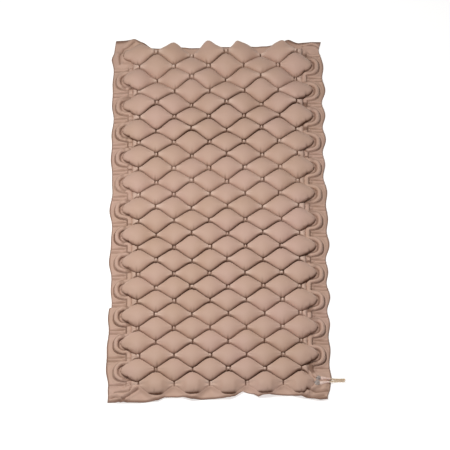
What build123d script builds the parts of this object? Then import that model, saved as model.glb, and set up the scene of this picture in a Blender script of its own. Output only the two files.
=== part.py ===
from build123d import *
import math
import os

# Alternating-pressure bubble pad. X runs across the pad, Y along it with the head end at +Y, Z up.
# The origin is on the resting surface, under the middle of the pad. All sizes are in millimetres.

# Pad
PAD_WIDTH = 868.0
PAD_LENGTH = 1890.0
PAD_CORNER = 12.0
FILM = 0.8
BORDER_FILM = 2 * FILM

# Cell pattern: two interleaved sets of rows, each set one air circuit
CELLS_PER_ROW = 5
ROWS_PER_CIRCUIT = 13
PITCH_X = 142.0
PITCH_Y = 140.0
CELL_HALF_Y = 60.0
TIP_HALF_Y = 5.0
CREST_BEND = 12.0
FINGER_BEND = 10.0
FINGER_REACH = 66.0
PORT_FINGER_REACH = 48.0
SUPPLY_TIP = 20.0
NECK_OVERLAP = 14.0

# Heights
WELD_Z = 18.0
CROWN_Z = 50.0
UPPER_NECK = 8.0
LOWER_NECK = 6.0

# Side air channels, given for the left one
CHANNEL_BASE_WIDTH = 17.0
CHANNEL_CREST_WIDTH = 10.0
CHANNEL_SHOULDER_Z = 15.0
CHANNEL_TOP_Z = 22.0
CHANNEL_OUTER_X = -405.0
CHANNEL_INNER_X = -354.0
CHANNEL_OUTER_RUN = 36.0
CHANNEL_INNER_RUN = 26.0
CHANNEL_OUTER_BEND = 34.0
CHANNEL_INNER_BEND = 12.0
PORT_LEG = (-366.0, 841.0)

# Room round the rows that rise and fall, and round their lower halves
WEB_CLEARANCE = 0.6
LOWER_GROW = 1.6
BORDER_CLEARANCE = 2.0
WEB_HALF_X = 345.0

# Inlet ports, sleeves and tubes
PORT_LENGTH = 18.0
PORT_WIDTH = 20.0
PORT_TOP_Z = 21.0
PORT_EDGE = 3.0
PORT_A_CENTRE = (383.0, -849.5)
PORT_B_CENTRE = (379.0, -875.5)
TUBE_RADIUS = 4.0
TUBE_BORE = 2.5
SLEEVE_RADIUS = 5.4
SLEEVE_START = 13.0
SLEEVE_END = 15.0
TUBE_REST_Z = 4.05
RUN_SHARE = 0.45

TUBE_A_ROUTE = [
    Vector(380.0, -849.0, 13.5),
    Vector(408.0, -849.6, 13.0),
    Vector(436.0, -850.4, 6.5),
    Vector(463.0, -850.4, TUBE_REST_Z),
    Vector(488.0, -850.4, TUBE_REST_Z),
]
TUBE_B_ROUTE = [
    Vector(376.0, -875.8, 13.5),
    Vector(404.0, -872.0, 13.0),
    Vector(432.0, -862.5, 6.5),
    Vector(460.0, -859.0, TUBE_REST_Z),
    Vector(486.0, -859.0, TUBE_REST_Z),
]

# Share of the cell's outline, and share of the way from the weld to the crown or to the floor
UPPER_PROFILE = [(1.0, 0.0), (0.9, 0.42), (0.65, 0.76), (0.3, 0.96), (0.08, 1.0)]
LOWER_PROFILE = [(1.0, 0.0), (0.93, 0.55), (0.66, 1.0)]

HALF_TURN = Rot(0, 0, 180)


def row_y(index):
    """Y of circuit A's row number index, counted from the head end."""
    return ((ROWS_PER_CIRCUIT - 1) / 2 - index) * PITCH_Y + PITCH_Y / 4


def cell_centres():
    """X of the cells of a circuit A row. The first one is the finger, on the -X side."""
    return [(index - (CELLS_PER_ROW - 1) / 2) * PITCH_X - PITCH_X / 4 for index in range(CELLS_PER_ROW)]


def neck_spans():
    """X range of each neck of a row, and last of the tip that leads to its supply channel."""
    ends = [x + PITCH_X / 2 for x in cell_centres()]
    spans = [(x - NECK_OVERLAP, x + NECK_OVERLAP) for x in ends[:-1]]
    return [*spans, (ends[-1] - NECK_OVERLAP, ends[-1] + SUPPLY_TIP)]


def cell_outline(grow=0.0, finger=None):
    """Plan of one cell about its centre. A finger is blunt on its -X side, at the reach given."""
    half_x = PITCH_X / 2
    half_y = CELL_HALF_Y + grow * math.hypot(half_x, CELL_HALF_Y) / half_x
    tip = TIP_HALF_Y + grow
    if finger is None:
        left = [(-half_x, tip), (-half_x, -tip)]
    else:
        reach = finger + grow
        shoulder = (0.62 * reach, 0.52 * half_y)
        end = (reach, 0.24 * half_y)
        left = [(-shoulder[0], shoulder[1]), (-end[0], end[1]), (-end[0], -end[1]), (-shoulder[0], -shoulder[1])]
    corners = [(half_x, -tip), (half_x, tip), (0, half_y), *left, (0, -half_y)]
    outline = make_face(Polyline(*corners, close=True))
    outline = fillet([corner for corner in outline.vertices() if abs(corner.X) < 1], CREST_BEND)
    if finger is not None:
        blunt = [corner for corner in outline.vertices() if corner.X < -0.5 * finger]
        outline = fillet(blunt, FINGER_BEND)
    return outline


def cell_solid(profile, weld_z, height, grow, finger):
    """One cell, as outlines that shrink from the weld towards the crown or the floor."""
    outline = cell_outline(grow, finger).face()
    sections = []
    for share, rise in profile:
        section = scale(outline, by=(share, share, 1))
        sections.append(Pos(0, 0, weld_z + rise * height) * section)
    return loft(sections, ruled=True)


def neck_solid(span, weld_z, height, grow):
    """The narrow air passage along a span of X."""
    half = TIP_HALF_Y + grow
    section = make_face(Polyline((-half, 0), (half, 0), (0.6 * half, height), (-0.6 * half, height), close=True))
    across = Plane(origin=(span[0], 0, weld_z), x_dir=(0, 1, 0), z_dir=(1, 0, 0))
    return extrude(across * section, span[1] - span[0])


def row_solid(profile, weld_z, height, neck_height, grow=0.0, finger=FINGER_REACH):
    """Five cells joined by their necks, as one solid about Y = 0."""
    pieces = []
    for index, x in enumerate(cell_centres()):
        pieces.append(Pos(x, 0, 0) * cell_solid(profile, weld_z, height, grow, finger if index == 0 else None))
    for span in neck_spans():
        pieces.append(neck_solid(span, weld_z, neck_height, grow))
    return pieces[0].fuse(*pieces[1:]).clean()


def row_plan(grow, finger=FINGER_REACH):
    """A row's plan about Y = 0, grown all round, for cutting the film that it passes through."""
    plan = Sketch()
    for index, x in enumerate(cell_centres()):
        plan += Pos(x, 0) * cell_outline(grow, finger if index == 0 else None)
    for start, end in neck_spans():
        plan += Pos((start + end + grow) / 2, 0) * Rectangle(end - start + grow, 2 * (TIP_HALF_Y + grow))
    return plan


def all_rows(shape, port_shape):
    """Every copy of a row shape: circuit A's rows, then circuit B's, both from the head end.
    Circuit B is circuit A turned half round. Its last row has its own shape, beside the inlet port."""
    rows_a = [Pos(0, row_y(index), 0) * shape for index in range(ROWS_PER_CIRCUIT)]
    rows_b = [HALF_TURN * row for row in reversed(rows_a[1:])]
    return rows_a, [*rows_b, HALF_TURN * Pos(0, row_y(0), 0) * port_shape]


def channel_line(leg=None):
    """Centre line of the left channel from its head end: in past each supply tip, out round each finger.
    Each run along Y is given by half its length."""
    corners = [(CHANNEL_INNER_X, row_y(0) - PITCH_Y / 2)]
    radii = []
    for index in range(1, ROWS_PER_CIRCUIT):
        tip_before = row_y(index) + PITCH_Y / 2
        tip_after = row_y(index) - PITCH_Y / 2
        corners.append((CHANNEL_INNER_X, tip_before - CHANNEL_INNER_RUN))
        corners.append((CHANNEL_OUTER_X, row_y(index) + CHANNEL_OUTER_RUN))
        corners.append((CHANNEL_OUTER_X, row_y(index) - CHANNEL_OUTER_RUN))
        corners.append((CHANNEL_INNER_X, tip_after + CHANNEL_INNER_RUN))
        radii += [CHANNEL_INNER_BEND, CHANNEL_OUTER_BEND, CHANNEL_OUTER_BEND, CHANNEL_INNER_BEND]
    corners.append((CHANNEL_INNER_X, tip_after))
    if leg is not None:
        corners.insert(0, leg)
        radii.insert(0, CHANNEL_INNER_BEND)
    return FilletPolyline(*corners, radius=radii)


def channel_solid(line):
    """A side air channel on the bottom film, wide at its base and narrow at its crest."""
    base = extrude(Pos(0, 0, FILM) * trace(line, line_width=CHANNEL_BASE_WIDTH), CHANNEL_SHOULDER_Z - FILM)
    crest_height = CHANNEL_TOP_Z - CHANNEL_SHOULDER_Z
    crest = extrude(Pos(0, 0, CHANNEL_SHOULDER_Z) * trace(line, line_width=CHANNEL_CREST_WIDTH), crest_height)
    return base + crest


def side_border(line, end_plan):
    """The flat double film outside the left channel, with tongues that reach in between its bends."""
    width = PAD_WIDTH / 2 - WEB_HALF_X
    strip = Pos(-WEB_HALF_X - width / 2, 0) * Rectangle(width, PAD_LENGTH)
    start = line @ 0
    end = line @ 1
    inside_x = CHANNEL_INNER_X + PITCH_X / 2
    closing = Polyline((end.X, end.Y), (inside_x, end.Y), (inside_x, start.Y), (start.X, start.Y))
    inside = make_face([*line.edges(), *closing.edges()])
    plan = strip - inside - trace(line, line_width=CHANNEL_BASE_WIDTH) - Pos(0, row_y(0)) * end_plan
    return extrude(Pos(0, 0, FILM) * plan, BORDER_FILM)


def end_border(end_plan):
    """The film beyond the head end's row, which falls from the weld to the floor."""
    inner = row_y(0)
    outer = PAD_LENGTH / 2
    profile = Polyline((inner, FILM), (outer, FILM), (outer, FILM + BORDER_FILM), (inner, WELD_Z), close=True)
    across = Plane(origin=(-WEB_HALF_X, 0, 0), x_dir=(0, 1, 0), z_dir=(1, 0, 0))
    wedge = extrude(across * make_face(profile), 2 * WEB_HALF_X)
    return wedge - extrude(Pos(0, row_y(0)) * end_plan, CROWN_Z)


def weld_web(openings):
    """The flat weld lines between the rows, with an opening for each row."""
    web = Rectangle(2 * WEB_HALF_X, 2 * row_y(0))
    for opening in openings:
        web -= opening
    largest = max(web.faces(), key=lambda face: face.area)
    return extrude(Pos(0, 0, WELD_Z - FILM) * largest, FILM)


def route_radii(route):
    """Each corner's arc radius: as large as its two runs allow."""
    radii = []
    for before, corner, after in zip(route, route[1:], route[2:]):
        turn = math.radians((corner - before).get_angle(after - corner))
        shorter = min((corner - before).length, (after - corner).length)
        radii.append(RUN_SHARE * shorter / math.tan(turn / 2))
    return radii


def pipe(line, outer, inner):
    """A round pipe along a line."""
    start = Plane(origin=line @ 0, z_dir=line % 0)
    return sweep(start * (Circle(outer) - Circle(inner)), path=line)


def tube_solid(name, route):
    """One inlet tube. It prints its radii, its length and how its volume compares with its section."""
    radii = route_radii(route)
    line = FilletPolyline(*route, radius=radii)
    tube = pipe(line, TUBE_RADIUS, TUBE_BORE)
    section = math.pi * (TUBE_RADIUS**2 - TUBE_BORE**2)
    print(name, "radii", [round(radius) for radius in radii], "length", round(line.length, 1))
    print(name, "volume over section times length", round(tube.volume / (section * line.length), 4))
    return tube


def sleeve_solid(route):
    """The welded film sleeve round a tube's first bend."""
    first, bend, after = route[:3]
    start = first + (bend - first).normalized() * SLEEVE_START
    end = bend + (after - bend).normalized() * SLEEVE_END
    line = FilletPolyline(start, bend, end, radius=route_radii(route)[:1])
    return pipe(line, SLEEVE_RADIUS, TUBE_RADIUS)


def port_solid(centre, route):
    """A port on the border film, with a socket that the tube's end sits in."""
    bottom = FILM + BORDER_FILM
    body = extrude(Pos(*centre, bottom) * Rectangle(PORT_LENGTH, PORT_WIDTH), PORT_TOP_Z - bottom)
    body = fillet(body.edges().filter_by(Axis.Z), PORT_EDGE)
    mouth = Plane(origin=route[0], z_dir=route[1] - route[0])
    return body - extrude(mouth * Circle(TUBE_RADIUS), 2 * PORT_LENGTH)


def save(name, shape):
    export_step(shape, os.path.join("parts", name + ".step"))


def main():
    os.makedirs("parts", exist_ok=True)

    upper = WELD_Z, CROWN_Z - WELD_Z, UPPER_NECK
    row = row_solid(UPPER_PROFILE, *upper)
    port_row = row_solid(UPPER_PROFILE, *upper, finger=PORT_FINGER_REACH)
    for circuit, rows in zip("ab", all_rows(row, port_row)):
        for number, shape in enumerate(rows, start=1):
            save(f"cell_row_{circuit}{number:02d}", shape)

    lower = WELD_Z - FILM, 2 * FILM - WELD_Z, -LOWER_NECK
    lower_row = row_solid(LOWER_PROFILE, *lower, grow=LOWER_GROW)
    lower_port_row = row_solid(LOWER_PROFILE, *lower, grow=LOWER_GROW, finger=PORT_FINGER_REACH)
    for circuit, rows in zip("ab", all_rows(lower_row, lower_port_row)):
        save(f"lower_cells_{circuit}", Compound(children=rows))

    base = RectangleRounded(PAD_WIDTH, PAD_LENGTH, PAD_CORNER)
    save("bottom_sheet", extrude(base, FILM))

    end_plan = row_plan(BORDER_CLEARANCE)
    port_end_plan = row_plan(BORDER_CLEARANCE, PORT_FINGER_REACH)
    left_line = channel_line()
    right_line = channel_line(PORT_LEG)
    rows_a, rows_b = all_rows(row_plan(WEB_CLEARANCE), row_plan(WEB_CLEARANCE, PORT_FINGER_REACH))
    save("weld_web", weld_web([*rows_a, *rows_b]))
    save("left_air_channel", channel_solid(left_line))
    save("right_air_channel", HALF_TURN * channel_solid(right_line))
    save("left_border", side_border(left_line, end_plan))
    save("right_border", HALF_TURN * side_border(right_line, port_end_plan))
    save("head_border", end_border(end_plan))
    save("foot_border", HALF_TURN * end_border(port_end_plan))

    save("inlet_tube_a", tube_solid("inlet_tube_a", TUBE_A_ROUTE))
    save("inlet_tube_b", tube_solid("inlet_tube_b", TUBE_B_ROUTE))
    save("tube_sleeve_a", sleeve_solid(TUBE_A_ROUTE))
    save("tube_sleeve_b", sleeve_solid(TUBE_B_ROUTE))
    save("inlet_port_a", port_solid(PORT_A_CENTRE, TUBE_A_ROUTE))
    save("inlet_port_b", port_solid(PORT_B_CENTRE, TUBE_B_ROUTE))


main()
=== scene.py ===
import math

import bpy
import numpy as np
from mathutils import Matrix, Vector


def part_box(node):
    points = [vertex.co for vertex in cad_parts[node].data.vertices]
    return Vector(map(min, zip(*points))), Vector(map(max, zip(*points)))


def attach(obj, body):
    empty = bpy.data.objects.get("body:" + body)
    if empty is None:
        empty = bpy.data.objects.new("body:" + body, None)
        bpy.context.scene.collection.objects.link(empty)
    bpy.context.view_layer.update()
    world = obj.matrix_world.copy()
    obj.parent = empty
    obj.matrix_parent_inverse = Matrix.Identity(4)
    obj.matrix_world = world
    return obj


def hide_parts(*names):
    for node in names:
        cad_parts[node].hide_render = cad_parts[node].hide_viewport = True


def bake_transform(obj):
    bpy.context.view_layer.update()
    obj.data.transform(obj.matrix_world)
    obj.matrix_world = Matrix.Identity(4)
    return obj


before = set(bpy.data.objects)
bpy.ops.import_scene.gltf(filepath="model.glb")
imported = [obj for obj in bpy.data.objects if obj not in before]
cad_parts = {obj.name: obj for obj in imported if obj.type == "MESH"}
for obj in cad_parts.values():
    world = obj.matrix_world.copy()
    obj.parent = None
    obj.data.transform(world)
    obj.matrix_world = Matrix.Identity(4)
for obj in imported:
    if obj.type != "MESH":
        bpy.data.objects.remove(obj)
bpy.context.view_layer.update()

# Axes: X across the pad, Y along it towards the head end, Z up. Metres.
# Circuit A's rows have their blunt finger on the left, circuit B's are the same turned half round.

# Cell pattern, and the weld lines between the rows
CELLS = 5
ROWS = 13
PITCH_X = 0.142
PITCH_Y = 0.140
WELD_HALF = 0.0017
WELD_WAVE = 0.0240
WAVE_SHARPNESS = 0.78
FINGER_BEND = 0.030
FINGER_TAPER = 0.45
FOOT_CREST = 0.045

# From the frame
WEB_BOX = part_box("weld_web")
ROW_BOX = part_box("cell_row_a01")
PORT_ROW_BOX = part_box("cell_row_b13")
CHANNEL_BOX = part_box("right_air_channel")
SHEET_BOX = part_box("bottom_sheet")
WELD_Z = WEB_BOX[1][2]
CROWN = ROW_BOX[1][2] - WELD_Z
PAD_HALF_X = SHEET_BOX[1][0]
PAD_HALF_Y = SHEET_BOX[1][1]
FINGER_X = -ROW_BOX[0][0]
PORT_FINGER_X = PORT_ROW_BOX[1][0]

# Centre lines of the side channels
CHANNEL_HALF = 0.0085
CHANNEL_IN = CHANNEL_BOX[0][0] + CHANNEL_HALF
CHANNEL_OUT = CHANNEL_BOX[1][0] - CHANNEL_HALF
CHANNEL_OUTER_RUN = 0.036
CHANNEL_INNER_RUN = 0.026
CHANNEL_OUTER_BEND = 0.034
CHANNEL_INNER_BEND = 0.012


def smoothstep(low, high, value):
    """0 up to low and 1 from high on, with a smooth rise between them."""
    t = np.clip((value - low) / (high - low), 0.0, 1.0)
    return t * t * (3.0 - 2.0 * t)


def smooth_min(a, b, width):
    """The smaller of two values, rounded off where they cross."""
    blend = np.clip(0.5 + 0.5 * (b - a) / width, 0.0, 1.0)
    return b * (1.0 - blend) + a * blend - width * blend * (1.0 - blend)


def row_y(circuit, number):
    """Middle of a row, counted from the head end."""
    middle = ((ROWS - 1) / 2 - number) * PITCH_Y
    return middle + PITCH_Y / 4 if circuit == "a" else middle - PITCH_Y / 4


def cell_x(circuit, number):
    """Middle of a cell, counted from its row's finger."""
    side = -1.0 if circuit == "a" else 1.0
    return side * ((CELLS - 1) / 2 - number) * PITCH_X + side * PITCH_X / 4


# ---------------- shape of the weld plane

NOISE_WAVES = 7
NOISE_GAIN = 1.6


def lattice_noise(x, y, seed):
    """Smooth noise, mostly between -1 and 1, from a few fixed waves."""
    rng = np.random.default_rng(seed)
    total = np.zeros(np.broadcast(x, y).shape)
    for _ in range(NOISE_WAVES):
        angle = rng.uniform(0, 2 * math.pi)
        phase = rng.uniform(0, 2 * math.pi)
        size = rng.uniform(0.6, 1.6)
        total = total + np.sin((np.cos(angle) * x + np.sin(angle) * y) / size + phase)
    return total / NOISE_WAVES * NOISE_GAIN


# How far every other node stands above the weld plane, or sinks below it
BUCKLE_HEAD = 0.0140
BUCKLE_MIDDLE = 0.0062
BUCKLE_FOOT = 0.0018


def buckle_size(y):
    """The pad's film buckles most near the head end and hardly at all near the foot."""
    t = np.clip((y + PAD_HALF_Y) / (2 * PAD_HALF_Y), 0.0, 1.0)
    size = BUCKLE_FOOT + (BUCKLE_MIDDLE - BUCKLE_FOOT) * smoothstep(0.15, 0.55, t)
    return size + (BUCKLE_HEAD - BUCKLE_MIDDLE) * smoothstep(0.58, 0.92, t)


LINE_STEP = 0.0015
ARC_POINTS = 15


def rounded(corners, bends):
    """Points along a line of straight runs joined by arcs, evenly spaced."""
    corners = [np.array(corner) for corner in corners]
    points = [corners[0]]
    for before, corner, after, bend in zip(corners, corners[1:], corners[2:], bends):
        back = (before - corner) / np.linalg.norm(before - corner)
        ahead = (after - corner) / np.linalg.norm(after - corner)
        half = math.acos(float(np.clip(back @ ahead, -1.0, 1.0))) / 2
        centre = corner + (back + ahead) / np.linalg.norm(back + ahead) * bend / math.sin(half)
        first = corner + back * bend / math.tan(half) - centre
        last = corner + ahead * bend / math.tan(half) - centre
        for share in np.linspace(0, 1, ARC_POINTS):
            spoke = first * (1 - share) + last * share
            points.append(centre + spoke / np.linalg.norm(spoke) * bend)
    points = np.array(points + [corners[-1]])
    run = np.concatenate([[0], np.cumsum(np.hypot(*np.diff(points, axis=0).T))])
    even = np.linspace(0, run[-1], int(run[-1] / LINE_STEP))
    return np.stack([np.interp(even, run, points[:, k]) for k in (0, 1)], -1)


def channel_bend():
    """One pitch of the channel's centre line, from tip to tip round a finger.

    Each point has its distance from the pad's middle line, and its Y from the finger.
    """
    tip = PITCH_Y / 2
    inner = tip - CHANNEL_INNER_RUN
    corners = [(CHANNEL_IN, -tip), (CHANNEL_IN, -inner), (CHANNEL_OUT, -CHANNEL_OUTER_RUN),
               (CHANNEL_OUT, CHANNEL_OUTER_RUN), (CHANNEL_IN, inner), (CHANNEL_IN, tip)]
    return rounded(corners, [CHANNEL_INNER_BEND, CHANNEL_OUTER_BEND, CHANNEL_OUTER_BEND, CHANNEL_INNER_BEND])


BEND = channel_bend()
CHART_STEP = 0.0005
CHART_X = np.arange(0.30, 0.46, CHART_STEP)
CHART_Y = np.arange(-PITCH_Y / 2, PITCH_Y / 2 + CHART_STEP, CHART_STEP)


def distance_chart():
    """Distance from the channel's line over one pitch, less than 0 on the inner side."""
    x, y = np.meshgrid(CHART_X, CHART_Y, indexing="ij")
    nearest = np.full(x.shape, 1.0)
    for shift in (-PITCH_Y, 0.0, PITCH_Y):
        for line_x, line_y in BEND:
            nearest = np.minimum(nearest, (x - line_x) ** 2 + (y - line_y - shift) ** 2)
    return np.sqrt(nearest) * np.where(x < np.interp(y, BEND[:, 1], BEND[:, 0]), -1.0, 1.0)


CHART = distance_chart()


def from_finger(x, y):
    """Y measured from the nearest finger on x's side."""
    middle = np.where(x < 0, row_y("a", 0), row_y("b", 0))
    return (y - middle + PITCH_Y / 2) % PITCH_Y - PITCH_Y / 2


def channel_distance(x, y):
    """Distance from the nearer channel's line, less than 0 towards the pad's middle."""
    along = (from_finger(x, y) - CHART_Y[0]) / CHART_STEP
    out = (np.clip(np.abs(x), CHART_X[0], CHART_X[-1] - CHART_STEP) - CHART_X[0]) / CHART_STEP
    i = np.clip(out.astype(int), 0, len(CHART_X) - 2)
    j = np.clip(along.astype(int), 0, len(CHART_Y) - 2)
    u = out - i
    v = along - j
    near = CHART[i, j] * (1 - v) + CHART[i, j + 1] * v
    far = CHART[i + 1, j] * (1 - v) + CHART[i + 1, j + 1] * v
    return near * (1 - u) + far * u


def by_finger(x, y):
    """1 beside a finger and 0 beside a supply tip."""
    return 1 - smoothstep(0.025, 0.055, np.abs(from_finger(x, y)))


def wave(from_cell):
    """The zigzag weld line: 1 at the middle of each cell and -1 at each node, with rounded turns."""
    turn = np.cos(2 * math.pi * from_cell / PITCH_X)
    return np.arcsin(WAVE_SHARPNESS * turn) / math.asin(WAVE_SHARPNESS)


def film_edge_height(x, y):
    """Height at which the border film lies near the pad's edge, with its ruffles."""
    ruffle = 0.5 + 0.5 * np.sin(2 * math.pi * y / PITCH_Y + np.where(x > 0, 0.6, 2.4))
    ends = 0.5 + 0.5 * np.sin(2 * math.pi * x / 0.19 + 0.8)
    at_side = smoothstep(0.33, 0.40, np.abs(x))
    return 0.0015 + 0.0055 * ruffle * at_side + 0.0035 * ends * (1 - at_side)


# Height of the weld along the rows' outer ends
SEAM_AT_TIP = 0.0170
SEAM_AT_FINGER = 0.0115
SEAM_AT_END = 0.0145
LAST_ROW = (ROWS - 1) / 2 * PITCH_Y + PITCH_Y / 4
BUCKLE_FADE = 0.06
END_FALL = 0.011
SLOPE_STEP = 0.002


def weld_height(x, y):
    """Height of the welded film everywhere.

    Inside, it carries the weld lines: every other node stands up and the rest sink. Outside the rows it
    falls to the bed.
    """
    across = np.cos(math.pi * (x - cell_x("b", 0)) / PITCH_X)
    along = np.cos(math.pi * (y - row_y("a", 0)) / PITCH_Y)
    inside = smoothstep(CHANNEL_OUT, CHANNEL_IN - BUCKLE_FADE, np.abs(x))
    uneven = 1.0 + 0.35 * lattice_noise(x / 0.16, y / 0.16, 4)
    slow = 0.0012 * lattice_noise(x / 0.21, y / 0.24, 9) * inside
    top = WELD_Z + buckle_size(y) * across * along * inside * uneven + slow
    top = top + (SEAM_AT_END - WELD_Z) * smoothstep(0.006, 0.058, np.abs(y) - LAST_ROW)

    finger = by_finger(x, y)
    distance = channel_distance(x, y)
    seam = np.minimum(SEAM_AT_TIP + (SEAM_AT_FINGER - SEAM_AT_TIP) * finger, top)
    top = top + (seam - top) * smoothstep(-0.022, -0.006, distance)
    side = 1 - smoothstep(0.004, 0.030 - 0.006 * finger, distance)

    crest = np.where(y > 0, cell_x("a", 0), cell_x("b", 0))
    row_edge = PITCH_Y / 4 + WELD_WAVE * wave(x - crest)
    beyond = np.clip(np.abs(y) - LAST_ROW - row_edge, 0.0, None)
    end = np.exp(-(beyond / END_FALL) ** 1.15)
    base = film_edge_height(x, y)
    return base + (top - base) * side * end


def weld_slope(x, y):
    """How steeply the weld rises along X and along Y."""
    step = SLOPE_STEP
    slope_x = (weld_height(x + step, y) - weld_height(x - step, y)) / (2 * step)
    slope_y = (weld_height(x, y + step) - weld_height(x, y - step)) / (2 * step)
    return slope_x, slope_y


# ---------------- plan of a row, as circuit A has it

def half_width(x, finger_x):
    """Half the row's width at x, from its finger's end to the tip at the supply channel."""
    half = PITCH_Y / 4 + WELD_WAVE * wave(x - cell_x("a", 0)) - WELD_HALF
    shoulder = cell_x("a", 0) - PITCH_X / 4
    blunt = PITCH_Y / 4 - WELD_HALF + FINGER_TAPER * (x - shoulder)
    half = np.where(x < cell_x("a", 0), np.maximum(half, np.minimum(blunt, PITCH_Y / 4)), half)
    reach = np.clip(x + finger_x, 0.0, None)
    end = np.sqrt(np.clip(2 * FINGER_BEND * reach - reach**2, 0.0, None))
    end = np.where(reach > FINGER_BEND, FINGER_BEND + (reach - FINGER_BEND) * 3.0, end)
    return np.clip(smooth_min(half, end, 0.010), 0.0, None)


def outline(x, finger_x, circuit, number, outward):
    """Half the row's width on one side. Beside the foot border the last row's crests are blunt."""
    half = half_width(x, finger_x)
    if circuit == "b" and number == ROWS - 1 and outward:
        half = smooth_min(half, FOOT_CREST, 0.012)
    return half


SOLVER_STEPS = 900
SOLVER_TOLERANCE = 1e-14


def inflation(xs, ys):
    """How high a thin film fixed all round its edge swells under pressure, from 0 to 1 at the highest place.

    The film's flat mesh is split into triangles, and the membrane's balance of forces is solved by
    conjugate gradients.
    """
    rows, columns = xs.shape
    index = np.arange(rows * columns).reshape(rows, columns)
    a, b, c, d = (part.ravel() for part in (index[:-1, :-1], index[1:, :-1], index[1:, 1:], index[:-1, 1:]))
    corners = np.concatenate([np.stack([a, b, c], 1), np.stack([a, c, d], 1)])
    x = xs.ravel()[corners]
    y = ys.ravel()[corners]
    area = ((x[:, 1] - x[:, 0]) * (y[:, 2] - y[:, 0]) - (x[:, 2] - x[:, 0]) * (y[:, 1] - y[:, 0])) / 2
    real = np.abs(area) > 1e-9
    corners, x, y, area = corners[real], x[real], y[real], np.abs(area[real])
    along = np.stack([y[:, 1] - y[:, 2], y[:, 2] - y[:, 0], y[:, 0] - y[:, 1]], 1)
    across = np.stack([x[:, 2] - x[:, 1], x[:, 0] - x[:, 2], x[:, 1] - x[:, 0]], 1)
    products = along[:, :, None] * along[:, None, :] + across[:, :, None] * across[:, None, :]
    local = products / (4 * area[:, None, None])
    from_node = np.repeat(corners, 3, 1).ravel()
    to_node = np.tile(corners, (1, 3)).ravel()
    stiffness = local.ravel()
    count = rows * columns
    free = np.zeros((rows, columns), bool)
    free[1:-1, 1:-1] = True
    free = free.ravel()
    load = np.bincount(corners.ravel(), np.repeat(area / 3, 3), count) * free
    diagonal = np.bincount(corners.ravel(), local[:, [0, 1, 2], [0, 1, 2]].ravel(), count)
    diagonal[diagonal <= 0] = 1.0

    height = np.zeros(count)
    left = load.copy()
    guess = left / diagonal
    heading = guess.copy()
    strength = left @ guess
    for _ in range(SOLVER_STEPS):
        pull = np.bincount(from_node, stiffness * heading[to_node], count) * free
        step = strength / (heading @ pull)
        height += step * heading
        left -= step * pull
        guess = left / diagonal
        after = left @ guess
        if after < SOLVER_TOLERANCE * (load @ (load / diagonal)):
            break
        heading = guess + after / strength * heading
        strength = after
    height = np.clip(height, 0.0, None).reshape(rows, columns)
    return np.sqrt(height / height.max())


SWELLS = {}


def row_swell(finger_x, xs, ys):
    """The swelling of a row with this finger, worked out once. Only the last row has its finger."""
    if finger_x not in SWELLS:
        SWELLS[finger_x] = inflation(xs, ys)
    return SWELLS[finger_x]


TIP_REACH = 0.026


def node_positions():
    """X of the necks of a circuit A row, with the one that leads to its tip last."""
    return [cell_x("a", i) + PITCH_X / 2 for i in range(CELLS)]


def row_stations(finger_x):
    """X of the mesh's lines across a row: close together at the necks and at the finger's end."""
    end = node_positions()[-1] + TIP_REACH
    fine = np.linspace(-finger_x, end, 6000)
    density = np.full(fine.shape, 1 / 0.0052)
    for node in node_positions():
        density += 1 / 0.0013 * np.exp(-((fine - node) / 0.013) ** 2)
    density += 1 / 0.0022 * np.exp(-(fine + finger_x) / 0.010)
    total = np.concatenate([[0], np.cumsum((density[1:] + density[:-1]) / 2 * np.diff(fine))])
    count = int(total[-1])
    return np.interp(np.linspace(0, total[-1], count), total, fine)


def new_mesh(name, points, faces):
    """A smooth-shaded mesh object in the scene."""
    mesh = bpy.data.meshes.new(name)
    mesh.from_pydata(points.tolist(), [], faces)
    mesh.update()
    mesh.polygons.foreach_set("use_smooth", [True] * len(mesh.polygons))
    piece = bpy.data.objects.new(name, mesh)
    bpy.context.scene.collection.objects.link(piece)
    return piece


def grid_faces(rows, columns, keep=None):
    """The four-sided faces of a grid of points, or those of them that keep marks."""
    index = np.arange(rows * columns).reshape(rows, columns)
    quads = np.stack([index[:-1, :-1], index[1:, :-1], index[1:, 1:], index[:-1, 1:]], -1)
    if keep is not None:
        return quads[keep].tolist()
    return quads.reshape(-1, 4).tolist()


def store(piece, name, values):
    """Put one value per point on the mesh, for the material to read."""
    layer = piece.data.attributes.new(name, "FLOAT", "POINT")
    layer.data.foreach_set("value", np.asarray(values, np.float32).ravel())


ACROSS = 34
OVERHANG = 0.0014
LOWER_SAG = 0.004

# Necks between the cells: how wide each is along X, how far it swells, and the sharp folds in it
NECK_REACH = 0.020
NECK_SWELL = 0.25
FOLD_FROM_NECK = 0.0068
FOLD_WIDTH = 0.0024
FOLD_PINCH = 0.8

# Heights of the softer folds: a fan out of each neck, cuts and pleats at each crest, and the rest
FAN_FOLD = 0.0014
CREST_CUT = 0.0055
CREST_CUT_WIDTH = 0.0026
PLEAT = 0.00035
TIP_CRUMPLE = 0.0026
SLOW_DENT = 0.0011
PUCKER = 0.0005

# Painted shade along the weld, and a painted highlight line just inside it on each row's head side
PAINTED_SHADE_WIDTH = 0.0038
PALE_LINE = 0.34
PALE_LINE_AT = 0.0095
PALE_LINE_WIDTH = 0.0036

# Crests of the head end's row that stand up: X, and how far
HEAD_CRESTS = [(-0.180, 0.006), (-0.040, 0.012), (0.070, 0.019), (0.275, 0.012)]


def sharp_folds(rng):
    """Places and depths of the sharp folds at a neck or crest: one, or a deep and a shallow one."""
    if rng.uniform() < 0.50:
        return [(rng.uniform(-0.0040, 0.0040), rng.uniform(0.80, 1.0))]
    side = 1 if rng.uniform() < 0.5 else -1
    deep = side * (FOLD_FROM_NECK + rng.uniform(-0.0024, 0.0014))
    shallow = -side * (FOLD_FROM_NECK + rng.uniform(-0.0024, 0.0014))
    return [(deep, rng.uniform(0.70, 1.0)), (shallow, rng.uniform(0.15, 0.70))]


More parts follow.
